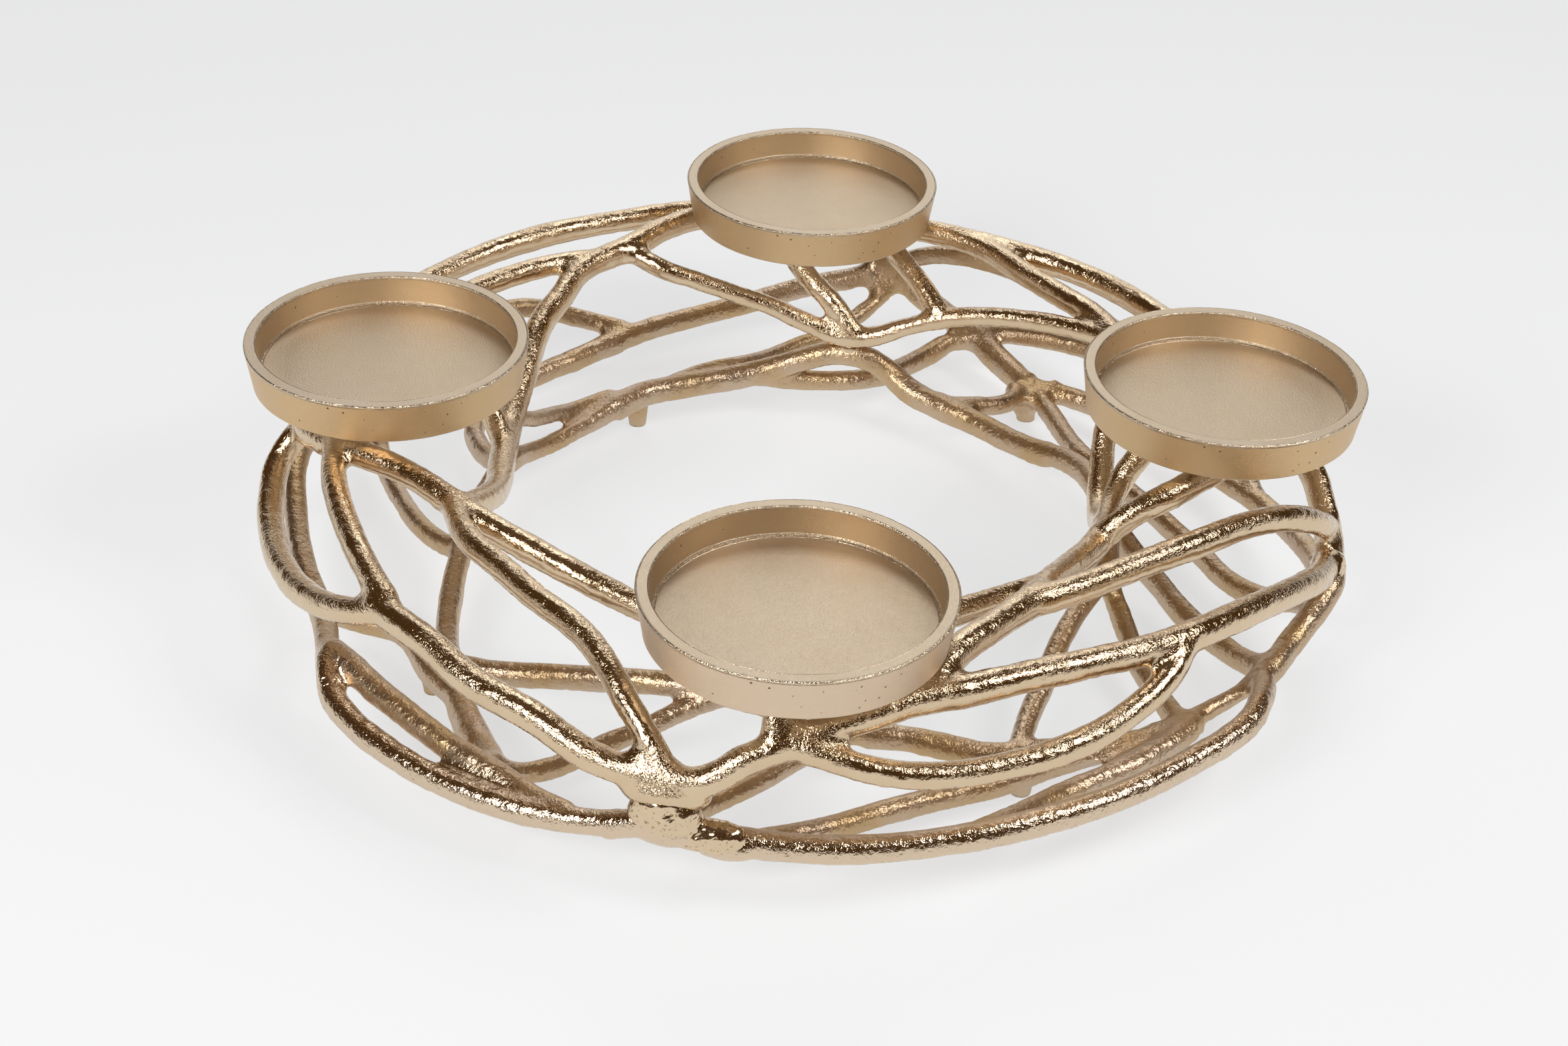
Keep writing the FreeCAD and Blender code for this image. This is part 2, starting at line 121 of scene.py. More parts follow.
UPPER_BRANCHES = {
    "upper_front_left_rail": (9.3, [(221, 41), (230.5, 41), (236.5, 35), (244.5, 30), (252, 18.5),
                                    (258.5, 17)]),
    "upper_left_cup_beam": (9.0, [(180, 92), (184, 52), (190, 60), (196, 78), (204, 100), (212, 112),
                                  (219, 121), (226, 131)]),
    "upper_left_outer_loop": (9.0, [(184, 50), (186, 26), (190, 14), (196, 8), (203, 10), (211, 17),
                                    (218, 29), (223, 42)]),
    "upper_left_second_rib": (9.0, [(193, 68), (198, 64), (204, 61), (211, 57), (217, 52), (223, 45)]),
    "upper_front_left_brace": (8.0, [(211, 111), (221, 100), (229, 96), (237, 88), (245.5, 77), (250, 64),
                                     (253, 51), (256, 36), (258.5, 19)]),
    "upper_front_inner_bow": (8.6, [(225, 130), (232.5, 138), (239, 148), (247, 156), (258, 160),
                                    (271, 161), (284, 158), (294, 151, 1.04), (301, 142, 1.02),
                                    (308, 124)]),
    "upper_front_rise": (9.0, [(257, 18), (262, 18), (266, 31), (270.8, 42), (277, 52), (283, 60)]),
    "upper_front_right_rail": (9.5, [(282, 59), (288, 61), (295, 62), (302, 60), (312.5, 53), (322.5, 46),
                                     (329, 39), (336, 28), (342, 16), (348, 4)]),
    "upper_front_right_lower_rail": (8.5, [(270, 40), (274, 33), (278.5, 26), (284, 22), (291, 22),
                                           (298, 24), (305, 31), (311, 40), (315.5, 51)]),
    "upper_right_rise": (9.5, [(284, 60), (287.5, 79), (295, 96), (303, 110), (311, 127), (321, 145),
                               (329, 150), (337, 152)]),
    "upper_right_loop": (9.0, [(302, 109), (308.5, 105), (319, 98), (329.5, 84), (335, 75), (340.5, 62),
                               (345, 46), (348.5, 30), (351.5, 14), (348, 5)]),
    "upper_right_cup_brace": (9.0, [(334, 150), (336.5, 131), (340, 115), (344, 104), (349, 92),
                                    (357, 88)]),
    "upper_right_cup_inner_brace": (8.5, [(336, 152), (346, 162), (353, 158), (356, 146), (359, 126),
                                          (2, 98)]),
    "upper_right_cup_post": (9.0, [(340, 158), (349, 174, 1.02), (358, 181, 1.04), (6, 172), (11, 158),
                                   (14, 144), (13, 118), (8, 96)]),
    "upper_right_outer_post": (9.0, [(2, 88), (4, 62), (359.5, 34), (355.5, 22), (351.5, 10, 1.03),
                                     (348, 3, 1.04)]),
    "upper_back_left_outer_rail": (9.0, [(180, 90), (171, 80), (163, 58), (153, 49, 1.04), (143, 50, 1.04),
                                         (130, 56, 1.03), (118, 58), (107, 61), (99, 73), (90, 91)]),
    "upper_back_left_rail": (9.5, [(92, 90), (105, 82), (113, 92), (121, 105), (131, 112), (138, 124),
                                   (146, 134), (155, 150), (164, 164), (173, 168, 1.06), (183, 166, 1.1),
                                   (195, 159, 1.08), (205, 142, 1.02), (213, 114)]),
    "upper_back_left_fork": (8.5, [(126, 109), (132, 103), (141, 97), (152, 91), (166, 89), (178, 90)]),
    "upper_left_cup_inner_stay": (8.0, [(178, 92), (174, 122), (172, 148), (175, 168, 1.06)]),
    "upper_back_inner_rail": (7.5, [(121, 105), (117, 125), (112, 135), (105, 146), (97, 156), (90, 166),
                                    (82, 174), (76, 171), (69, 160), (60, 147), (51, 137), (41, 127),
                                    (31, 117), (21, 107), (6, 94)]),
    "upper_back_cup_left_leg": (8.0, [(93, 90), (93, 118), (90, 136), (85, 152), (80, 171)]),
    "upper_back_cup_right_leg": (8.0, [(86, 91), (79, 100), (73, 120), (68, 134), (63, 148)]),
    "upper_back_right_rail": (9.0, [(88, 89), (76, 87), (66, 87), (56, 85), (47, 81), (36, 79), (26, 80),
                                    (14, 86), (3, 89)]),
    "upper_back_right_inner_rail": (8.5, [(69, 87), (61, 93), (53, 103), (43, 108), (36, 109), (27, 113)]),
    "upper_front_cup_crosspiece": (9.0, [(277, 53), (273, 74), (270, 92), (268, 122), (266, 159)]),
    "front_cup_post": (8.0, [(268.6, 38), (268.4, 64, 1.27)]),
}

LOWER_BRANCHES = {
    "lower_left_outer_rail": (8.5, [(255, 338, 1.09, 0.88), (250, 332, 1.15, 0.9), (244, 330, 1.22),
                                    (236, 330, 1.27), (228, 330, 1.28), (222, 331, 1.26), (218.5, 333, 1.2),
                                    (216, 339, 1.06), (211, 327, 0.98), (202, 312, 1.0), (193.5, 316),
                                    (184, 325), (174, 342), (164, 343)]),
    "lower_back_left_outer_rail": (7.8, [(167, 344), (155, 342), (140, 340), (129, 338), (122, 317),
                                         (116.5, 298)]),
    "lower_front_outer_rail": (8.5, [(253, 335, 1.12), (258.5, 347, 1.06), (263, 339, 1.05),
                                     (268, 332, 1.08), (275, 331, 1.1), (284, 331, 1.09), (294, 334, 1.08),
                                     (306, 334, 1.08), (314, 336, 1.08), (318.4, 338.5, 1.1),
                                     (322, 341, 1.09), (325, 341, 1.03), (328, 332, 1.01),
                                     (330.5, 325, 1.0)]),
    "lower_right_weld_strut": (8.8, [(331.5, 319), (335, 323.5), (338.6, 328), (341.4, 337.5),
                                     (343.8, 353, 1.03), (346.5, 0, 1.07), (349, 358, 1.05)]),
    "lower_right_outer_rail": (8.6, [(346, 357, 1.04), (355.5, 336), (3.5, 322), (10, 313), (17, 303),
                                     (26, 297), (36, 290), (45, 284), (52, 276)]),
    "lower_left_second_rail": (8.5, [(213.5, 341, 0.93), (216.6, 341, 0.89), (221.5, 336, 0.89),
                                     (226.4, 335, 0.89), (229.5, 334, 0.91), (234.9, 331.5, 0.95),
                                     (239.7, 330, 0.99), (244.5, 328, 1.08), (249, 331, 1.14)]),
    "lower_inner_ring_left": (8.2, [(238.5, 322, 0.94), (235.3, 302, 1.0, 1.2), (230.8, 290, 1.0, 1.25),
                                    (224.8, 277, 1.0, 1.15), (217.5, 264), (210, 253), (203, 242),
                                    (195, 231), (185, 219), (176, 206), (168, 199, 1.04),
                                    (161, 207, 1.15, 0.86), (153, 213, 1.26, 0.8), (145, 214, 1.3, 0.8),
                                    (137, 216, 1.28), (129, 217, 1.2)]),
    "lower_inner_ring_back": (9.4, [(133, 216, 1.26), (124, 220, 1.2), (112, 218, 1.22), (104, 217, 1.19),
                                    (97, 211, 1.12), (90, 199, 1.05), (84, 191), (78, 191), (73, 206, 1.02),
                                    (67, 216, 1.2), (58, 218, 1.28), (47, 218, 1.32), (37, 216, 1.28),
                                    (29, 213, 1.16)]),
    "lower_inner_ring_right": (8.6, [(33, 214, 1.2), (21.5, 207, 1.04), (11, 200), (1, 196), (353, 199),
                                     (344, 206)]),
    "lower_left_cup_strut": (8.0, [(118, 289), (124, 284), (133, 281), (143, 277), (150.5, 266), (156, 249),
                                   (162, 226, 1.04), (167, 200)]),
    "lower_left_cross_strut": (7.4, [(156, 338), (161, 306), (167, 287), (174, 268), (181.5, 252),
                                     (188, 237), (192, 226)]),
    "lower_front_left_foot_strut": (7.5, [(202, 311), (203.5, 290), (207.5, 273), (215, 273), (222, 275)]),
    "lower_front_left_cross_strut": (6.9, [(239, 316), (241, 291), (243, 270), (245, 255), (248, 242),
                                           (252, 226), (258, 210)]),
    "lower_front_inner_bow": (8.4, [(216, 264), (221.5, 251.6), (227.4, 238), (233.4, 227), (240, 218),
                                    (249, 209), (258, 207), (268, 212), (276, 221), (282, 230), (287, 235),
                                    (292, 243), (297, 254), (302, 261), (307, 268), (311, 278)]),
    "lower_front_weld_strut": (6.5, [(258.5, 340, 1.05), (260, 288), (264, 268), (268, 254), (272, 242),
                                     (278, 230), (283, 232)]),
    "lower_front_right_strut": (7.6, [(267, 329, 1.06), (270, 311), (275, 296), (281, 283), (288, 277),
                                      (296, 276), (306, 276), (314, 285), (319, 295), (324, 300, 1.0, 0.85),
                                      (329, 310.5, 1.0, 0.78), (333, 321)]),
    "lower_front_right_wide_strut": (8.0, [(288, 332, 1.08), (294, 315), (300, 303), (305.7, 301),
                                           (310.3, 302), (314.7, 303), (318.5, 303), (322.5, 301)]),
    "lower_front_right_cross_strut": (7.6, [(343, 206), (333, 202), (325, 207), (318.5, 217), (312, 231),
                                            (307.5, 241), (302, 258)]),
    "lower_right_cross_strut": (7.4, [(346, 204), (342, 215), (337, 231), (333, 243), (329, 256),
                                      (325, 275), (321, 296)]),
    "lower_right_second_cross_strut": (8.4, [(3, 196), (358.5, 219), (354, 235), (350, 247), (345.8, 258.6),
                                             (342, 273), (339, 287), (337, 297), (334.5, 314)]),
    "lower_right_third_cross_strut": (7.8, [(51.5, 273), (45, 258), (36, 240), (28, 232), (20, 241),
                                            (15, 248), (8, 257), (1.5, 269), (355, 281), (351.6, 293.5),
                                            (349.5, 307), (347.5, 322), (343.5, 342)]),
    "lower_back_left_strut": (6.2, [(130.5, 218, 1.1), (135.7, 217.6, 1.09), (140, 215.5, 1.07),
                                    (150.3, 197.8), (157, 184), (163, 172.6), (168, 168),
                                    (173, 168, 1.04)]),
    "lower_back_cross_strut": (7.0, [(117, 220, 1.15), (109, 222, 1.05), (102, 229), (96, 252), (91, 270),
                                     (87, 282), (83, 302), (80.5, 322), (79, 348)]),
    "lower_back_outer_rail": (8.6, [(128, 282), (118, 291), (112, 297), (106, 302), (100, 309), (95, 317),
                                    (90, 327), (82, 342), (78.4, 356, 1.0, 0.92), (75, 7, 1.0, 0.85),
                                    (71, 12, 1.0, 0.85), (66, 14), (60, 9), (53, 358), (44, 343),
                                    (35, 330)]),
    "lower_back_right_strut": (9.4, [(79, 350), (76.2, 335), (72.9, 324), (69.3, 314), (66, 306, 1.0, 1.1),
                                     (61, 292, 1.0, 1.12), (57, 283, 1.0, 1.1), (51.5, 273)]),
    "lower_back_inner_strut": (8.0, [(66.5, 302), (69, 292), (70.5, 279), (73.5, 249), (77, 222, 1.12),
                                     (84, 220, 1.22), (92, 220, 1.24), (101, 218, 1.16)]),
    "lower_back_right_outer_rail": (8.0, [(66, 307), (62, 313), (56, 320), (49, 325), (40, 327), (30, 325),
                                          (20, 318), (11, 312)]),
    "lower_back_right_foot_strut": (7.2, [(53, 268), (52, 240), (56, 222, 1.16), (60, 218, 1.26)]),
}


# ---------------------------------------------------------------- small helpers
def at_bearing(bearing, radius, height):
    turn = math.radians(bearing)
    return Vector((radius * math.cos(turn), radius * math.sin(turn), height))


def wreath_point(bearing, angle, swell=1.0):
    """The point of the wreath's section at a bearing and a section angle, in metres."""
    turn = math.radians(angle)
    rise = CROWN_RISE if math.sin(turn) >= 0 else BASE_DROP
    radius = WREATH_RADIUS + swell * SECTION_HALF_WIDTH * math.cos(turn)
    return at_bearing(bearing, radius, EQUATOR_HEIGHT + swell * rise * math.sin(turn)) * MM


def deselect():
    bpy.ops.object.select_all(action="DESELECT")


def only(obj):
    """The object is the one selected and active."""
    deselect()
    obj.select_set(True)
    bpy.context.view_layer.objects.active = obj
    return obj


def named(name):
    """Names the active object and its mesh."""
    obj = bpy.context.active_object
    obj.name = name
    obj.data.name = name
    return obj


def modify(obj, kind, **settings):
    """Adds a modifier with its settings and applies it."""
    only(obj)
    mod = obj.modifiers.new(kind.lower(), kind)
    for key, value in settings.items():
        setattr(mod, key, value)
    bpy.ops.object.modifier_apply(modifier=mod.name)
    return obj


def join(objects, name):
    """Makes one named object of several."""
    deselect()
    for obj in objects:
        obj.select_set(True)
    bpy.context.view_layer.objects.active = objects[0]
    bpy.ops.object.join()
    return named(name)


def settle(obj):
    """Puts the piece's place into its mesh, so that its object sits at the origin."""
    only(obj)
    bpy.ops.object.transform_apply(location=True, rotation=True, scale=True)
    return obj


def smooth(obj, angle=180):
    only(obj)
    if angle >= 180:
        bpy.ops.object.shade_smooth()
    else:
        bpy.ops.object.shade_smooth_by_angle(angle=math.radians(angle))
    return obj


def ripple(obj, pattern, size, height, depth=2):
    """Moves the skin in and out by a cloudy pattern of that size."""
    texture = bpy.data.textures.new(obj.name + "_" + pattern, "CLOUDS")
    texture.noise_scale = size
    texture.noise_depth = depth
    return modify(obj, "DISPLACE", strength=height, mid_level=0.5, direction="NORMAL",
                  texture=texture, texture_coords="LOCAL")


# ---------------------------------------------------------------- shader maths
# The colour sockets of a Mix node.
MIX_FIRST = 6
MIX_SECOND = 7
MIX_RESULT = 2


class Value:
    """A number or colour socket, with Python's operators adding Math nodes."""

    def __init__(self, tree, socket):
        self.tree = tree
        self.socket = socket

    def maths(self, operation, *others, clamp=False):
        node = self.tree.nodes.new("ShaderNodeMath")
        node.operation = operation
        node.use_clamp = clamp
        for spot, item in zip(node.inputs, (self,) + others):
            plug(self.tree, spot, item)
        return Value(self.tree, node.outputs[0])

    def __add__(self, other):
        return self.maths("ADD", other)

    __radd__ = __add__

    def __sub__(self, other):
        return self.maths("SUBTRACT", other)

    def __rsub__(self, other):
        return (self * -1) + other

    def __mul__(self, other):
        return self.maths("MULTIPLY", other)

    __rmul__ = __mul__

    def __truediv__(self, other):
        return self.maths("DIVIDE", other)

    def __pow__(self, other):
        return self.maths("POWER", other)

    def clamp(self):
        return self.maths("ADD", 0.0, clamp=True)

    def ramp(self, low, high):
        """0 below low, 1 above high, and straight between them."""
        return ((self - low) / (high - low)).clamp()


def plug(tree, spot, item):
    """Links a value to a socket, or sets the socket to a constant."""
    if isinstance(item, Value):
        tree.links.new(item.socket, spot)
    elif isinstance(item, bpy.types.NodeSocket):
        tree.links.new(item, spot)
    else:
        spot.default_value = item


class Graph:
    """Shader nodes under construction."""

    def __init__(self, tree):
        self.tree = tree
        self.place = None

    def node(self, kind, settings=None, **sockets):
        node = self.tree.nodes.new(kind)
        for key, value in (settings or {}).items():
            setattr(node, key, value)
        for key, value in sockets.items():
            plug(self.tree, node.inputs[key.replace("_", " ")], value)
        return node

    def noise(self, scale, detail=2.0, roughness=0.5, distortion=0.0, at=None):
        node = self.node("ShaderNodeTexNoise", Vector=at or self.place, Scale=scale, Detail=detail,
                         Roughness=roughness, Distortion=distortion)
        return Value(self.tree, node.outputs["Fac"])

    def cells(self, scale):
        node = self.node("ShaderNodeTexVoronoi", Vector=self.place, Scale=scale)
        return Value(self.tree, node.outputs["Distance"])

    def part(self, vector, axis):
        """A vector's share along X, Y or Z."""
        node = self.node("ShaderNodeSeparateXYZ", Vector=vector)
        return Value(self.tree, node.outputs[axis])

    def facing(self, axis):
        """The surface's own direction along X, Y or Z."""
        node = self.node("ShaderNodeNewGeometry")
        return self.part(node.outputs["Normal"], axis)

    def blend(self, factor, first, second):
        node = self.node("ShaderNodeMix", {"data_type": "RGBA"})
        plug(self.tree, node.inputs["Factor"], factor)
        plug(self.tree, node.inputs[MIX_FIRST], first)
        plug(self.tree, node.inputs[MIX_SECOND], second)
        return Value(self.tree, node.outputs[MIX_RESULT])

    def streaks(self, scale):
        """Noise drawn out along the axes on which the scale is small."""
        node = self.node("ShaderNodeMapping", Vector=self.place, Scale=scale)
        return self.noise(1.0, 2.0, 0.6, at=Value(self.tree, node.outputs["Vector"]))

    def moved(self, centre):
        """The object's coordinates counted from a centre."""
        node = self.node("ShaderNodeVectorMath", {"operation": "SUBTRACT"})
        plug(self.tree, node.inputs[0], self.place)
        node.inputs[1].default_value = centre
        return Value(self.tree, node.outputs["Vector"])

    def relief(self, height, depth, under=None):
        """A bump of that depth in metres."""
        node = self.node("ShaderNodeBump", Height=height, Distance=depth, Strength=1.0)
        if under is not None:
            plug(self.tree, node.inputs["Normal"], under)
        return Value(self.tree, node.outputs["Normal"])


class Finish(Graph):
    """A material under construction."""

    def __init__(self, name):
        self.material = bpy.data.materials.new(name)
        self.material.use_nodes = True
        super().__init__(self.material.node_tree)
        self.shader = self.tree.nodes["Principled BSDF"]
        self.place = Value(self.tree, self.node("ShaderNodeTexCoord").outputs["Object"])

    def set(self, **sockets):
        for key, value in sockets.items():
            plug(self.tree, self.shader.inputs[key.replace("_", " ")], value)


def paint(obj, finish):
    obj.data.materials.clear()
    obj.data.materials.append(finish.material)
    return obj


# ---------------------------------------------------------------- finishes
PALE_GOLD = (0.70, 0.55, 0.375, 1)
DEEP_GOLD = (0.58, 0.41, 0.225, 1)
PINK_GOLD = (0.70, 0.555, 0.405, 1)
# The lower casting's satin colour is darker partly as painted shade, the shade under the upper casting.
SHADED_SAND_GOLD = (0.60, 0.46, 0.33, 1)
PORE_BROWN = (0.10, 0.06, 0.035, 1)
CUP_GOLD = (0.66, 0.55, 0.41, 1)
WALL_GOLD = (0.665, 0.475, 0.265, 1)
# The front cup's wall is painted lighter and its bore darker than the other cups': painted light and painted
# shade.
FRONT_WALL_PAINTED_LIGHT_GOLD = (0.72, 0.575, 0.42, 1)
FRONT_BORE_PAINTED_SHADE_GOLD = (0.50, 0.35, 0.20, 1)
BORE_GOLD = (0.64, 0.465, 0.275, 1)

# How many grains of each pattern there are to a metre, across X, Y and Z.
FILE_MARKS = (1900, 1900, 55)
BRUSH_MARKS = (2600, 2600, 120)
RUB_MARKS = (150, 150, 900)

# Where the lower casting is polished: from its outside edge inwards, up to the right cup and the back.
POLISH_RADII = (172.5 * MM, 175.5 * MM)
POLISH_RIGHT_END = (135.0 * MM, 150.0 * MM)
POLISH_BACK_END = (-20.0 * MM, 40.0 * MM)


def distance_from_axis(f):
    """How far a point lies from the upright axis of the finish's coordinates."""
    x = f.part(f.place, "X")
    y = f.part(f.place, "Y")
    return (x * x + y * y) ** 0.5


def ground_flanks(f):
    """1 on the upright flanks of the branches, with a ragged edge to it."""
    ragged = f.noise(1500, 3.0, 0.6) * 0.22
    return 1 - (f.facing("Z").maths("ABSOLUTE") + ragged).ramp(0.31, 0.41)


def polished_casting():
    """Upper casting: bright, with a grainy cast skin, ground flanks and a duller underside, which is also
    painted darker as shade.
    """
    f = Finish("polished_cast_gold")
    flank = ground_flanks(f)
    under = (0.0 - f.facing("Z")).ramp(0.25, 0.6)
    waves = f.noise(270, 2.0, 0.5) - 0.5
    strength = f.noise(60, 2.0).ramp(0.35, 0.6) * 0.7 + 0.3
    pimples = f.noise(1050, 2.0, 0.6) - 0.5
    grain = f.noise(3400, 2.0, 0.6) - 0.5
    strokes = f.streaks(FILE_MARKS) - 0.5
    patch = f.noise(70, 2.0).ramp(0.42, 0.62)
    skin = 1 - flank * 0.85
    rough = (0.05 + patch * 0.03 + flank * 0.12 + under * 0.14).clamp()
    # Faces turned downwards are painted darker here: painted shade, on top of their duller finish.
    tone = f.blend((patch * 0.2 + under * 0.35).clamp(), PALE_GOLD, DEEP_GOLD)
    bump = f.relief(waves * skin, 0.5 * MM)
    bump = f.relief(pimples * skin * strength, 0.4 * MM, bump)
    bump = f.relief(grain * skin, 0.05 * MM, bump)
    bump = f.relief(strokes * flank, 0.06 * MM, bump)
    f.set(Base_Color=tone, Metallic=1.0, Roughness=rough, Normal=bump)
    return f


def satin_casting():
    """Lower casting: sand-cast skin with a pinkish tint, polished on its outside."""
    f = Finish("satin_cast_gold")
    left_of_cup = 1 - f.part(f.place, "X").ramp(*POLISH_RIGHT_END)
    in_front = 1 - f.part(f.place, "Y").ramp(*POLISH_BACK_END)
    outside = distance_from_axis(f).ramp(*POLISH_RADII) * left_of_cup * in_front
    flank = ground_flanks(f)
    waves = f.noise(280, 2.0, 0.5)
    pimples = f.noise(1000, 2.0, 0.55)
    sand = f.noise(2200, 3.0, 0.6)
    strokes = f.streaks(FILE_MARKS) - 0.5
    patch = f.noise(45, 2.0).ramp(0.4, 0.65)
    rough = (0.29 + patch * 0.08 - outside * 0.21 + flank * 0.08).clamp()
    # The satin parts take the darker colour, painted shade under the upper casting; the polished outside
    # keeps the lighter one.
    tone = f.blend(outside, f.blend(patch, SHADED_SAND_GOLD, DEEP_GOLD), PINK_GOLD)
    bump = f.relief(waves, 0.6 * MM)
    bump = f.relief(pimples, 0.3 * MM, bump)
    bump = f.relief(sand, 0.06 * MM, bump)
    bump = f.relief(strokes * flank, 0.08 * MM, bump)
    f.set(Base_Color=tone, Metallic=1.0, Roughness=rough, Normal=bump)
    return f


def dressed_weld():
    """Weld metal: ground and polished, with soft pulls of the grinder."""
    f = Finish("dressed_weld_gold")
    pulls = f.noise(260, 2.0, 0.5, 0.6)
    nicks = f.noise(1100, 2.0, 0.5).ramp(0.36, 0.30)
    bump = f.relief(pulls, 0.4 * MM)
    bump = f.relief(nicks, -0.3 * MM, bump)
    f.set(Base_Color=f.blend(nicks, PALE_GOLD, DEEP_GOLD), Metallic=1.0, Roughness=0.14 + nicks * 0.2,
          Normal=bump)
    return f


def turned_cup(name, centre, outer_tone, inner_tone):
    """A cup: satin, finely pebbled, with brushed walls, a few dark pores and bright broken edges."""
    f = Finish(name)
    f.place = f.moved(centre)
    height = f.part(f.place, "Z")
    radius = distance_from_axis(f)
    wall = 1 - f.facing("Z").maths("ABSOLUTE").ramp(0.2, 0.7)
    inside = 1 - radius.ramp(CUP_BORE_RADIUS, CUP_BORE_RADIUS + 0.3 * MM)
    near_rim = height.ramp(RIM_HEIGHT - 1.1 * MM, RIM_HEIGHT - 0.7 * MM)
    outer_edge = radius.ramp(CUP_RIM_RADIUS - 0.7 * MM, CUP_RIM_RADIUS - 0.4 * MM)
    inner_edge = 1 - radius.ramp(CUP_BORE_RADIUS + 0.25 * MM, CUP_BORE_RADIUS + 0.5 * MM)
    near_floor = 1 - height.ramp(CUP_FLOOR_HEIGHT + 0.7 * MM, CUP_FLOOR_HEIGHT + 1.1 * MM)
    corner = radius.ramp(CUP_FLOOR_RADIUS - 0.9 * MM, CUP_FLOOR_RADIUS - 0.5 * MM) * near_floor * inside
    edge = (near_rim * (outer_edge + inner_edge) + corner).clamp()
    chips = f.noise(900, 2.0, 0.6)
    pebble = f.noise(1800, 2.0, 0.5)
    sand = f.noise(3600, 2.0, 0.6)
    swirl = f.noise(90, 3.0, 0.5)
    brushed = f.streaks(BRUSH_MARKS)
    rubbed = f.streaks(RUB_MARKS).ramp(0.58, 0.70) * wall
    pores = (1 - f.cells(330).ramp(0.07, 0.13)) * f.noise(55, 2.0).ramp(0.52, 0.60) * wall
    stain = f.noise(260, 3.0, 0.6).ramp(0.62, 0.72) * f.noise(40, 1.0).ramp(0.5, 0.6)
    rough = (0.37 + pebble * 0.05 - edge * 0.22 - rubbed * 0.1).clamp()
    tone = f.blend((swirl.ramp(0.4, 0.7) * 0.15 + stain * 0.3).clamp(), CUP_GOLD, DEEP_GOLD)
    # Wall and bore tones: for the front cup these carry painted light on the wall and painted shade in the
    # bore.
    tone = f.blend((wall * (1 - edge)).clamp(), tone, f.blend(inside, outer_tone, inner_tone))
    tone = f.blend(pores.clamp(), tone, PORE_BROWN)
    bump = f.relief(pebble, 0.1 * MM)
    bump = f.relief(sand, 0.06 * MM, bump)
    bump = f.relief(brushed * wall, 0.04 * MM, bump)
    bump = f.relief(chips * edge, 0.4 * MM, bump)
    bump = f.relief(pores, -0.3 * MM, bump)
    f.set(Base_Color=tone, Metallic=0.9 - wall * inside * 0.35, Roughness=rough, Normal=bump)
    return f


# ---------------------------------------------------------------- the castings
# The section of a branch, one unit of radius: round on top, upright flanks, flat underneath. Each
# point has its place, how far its curve handles reach, and their direction where it is a given one.
BRANCH_OUTLINE = [
    ((-0.96, 0.10), 0.50, (0, 1)),
    ((0.0, 1.0), 0.52, (1, 0)),
    ((0.96, 0.10), 0.50, (0, -1)),
    ((0.94, -0.62), 0.06, None),
    ((0.72, -0.82), 0.10, None),
    ((-0.72, -0.82), 0.10, None),
    ((-0.94, -0.62), 0.06, None),
]
SECTION_STEPS = 5
ROUTE_STEPS = 7


def branch_section():
    bpy.ops.curve.primitive_bezier_circle_add(radius=1.0, location=(0, 0, 0))
    section = named("branch_section")
    points = section.data.splines[0].bezier_points
    points.add(len(BRANCH_OUTLINE) - len(points))
    places = [Vector((*place, 0)) for place, _, _ in BRANCH_OUTLINE]
    for index, (_, reach, given) in enumerate(BRANCH_OUTLINE):
        point = points[index]
        after = places[(index + 1) % len(places)]
        along = Vector((*given, 0)) if given else (after - places[index - 1]).normalized()
        point.handle_left_type = "FREE"
        point.handle_right_type = "FREE"
        point.co = places[index]
        point.handle_left = point.co - along * reach
        point.handle_right = point.co + along * reach
    section.data.resolution_u = SECTION_STEPS
    return section


def junctions(branches, webs):
    """The places where branches run into each other, and how round the crotch is there."""
    places = []
    for name, (_, route) in branches.items():
        if name not in OPEN_ENDS:
            places += [(wreath_point(*route[spot][:3]), JUNCTION_FILLET, JUNCTION_CORE, JUNCTION_REACH)
                       for spot in (0, -1)]
    places += [(wreath_point(*stop), fillet * MM, WEB_CORE, WEB_REACH) for *stop, fillet in webs]
    tree = kdtree.KDTree(len(places))
    for index, (place, *_) in enumerate(places):
        tree.insert(place, index)
    tree.balance()
    return tree, places


def fillet_at(spot, crotches):
    """How far the skin is moved at a spot: the largest of the crotches in reach."""
    tree, places = crotches
    largest = FILLET
    for _, index, gap in tree.find_range(spot, WEB_REACH):
        _, fillet, core, reach = places[index]
        share = min(max((reach - gap) / (reach - core), 0.0), 1.0)
        largest = max(largest, FILLET + share * share * (3 - 2 * share) * (fillet - FILLET))
    return largest


def offset(obj, crotches, sign):
    """Moves the skin out (sign 1), or back in by as much as it went out there (sign -1)."""
    group = obj.vertex_groups.new(name="fillet")
    for vertex in obj.data.vertices:
        distance = fillet_at(vertex.co, crotches)
        if sign < 0 and distance > FILLET * 1.01:
            for _ in range(3):
                distance = (distance + fillet_at(vertex.co - vertex.normal * distance, crotches)) / 2
        group.add([vertex.index], distance / WEB_FILLET, "REPLACE")
    modify(obj, "DISPLACE", strength=sign * WEB_FILLET, mid_level=0.0, direction="NORMAL",
           vertex_group="fillet")
    obj.vertex_groups.clear()
    return obj


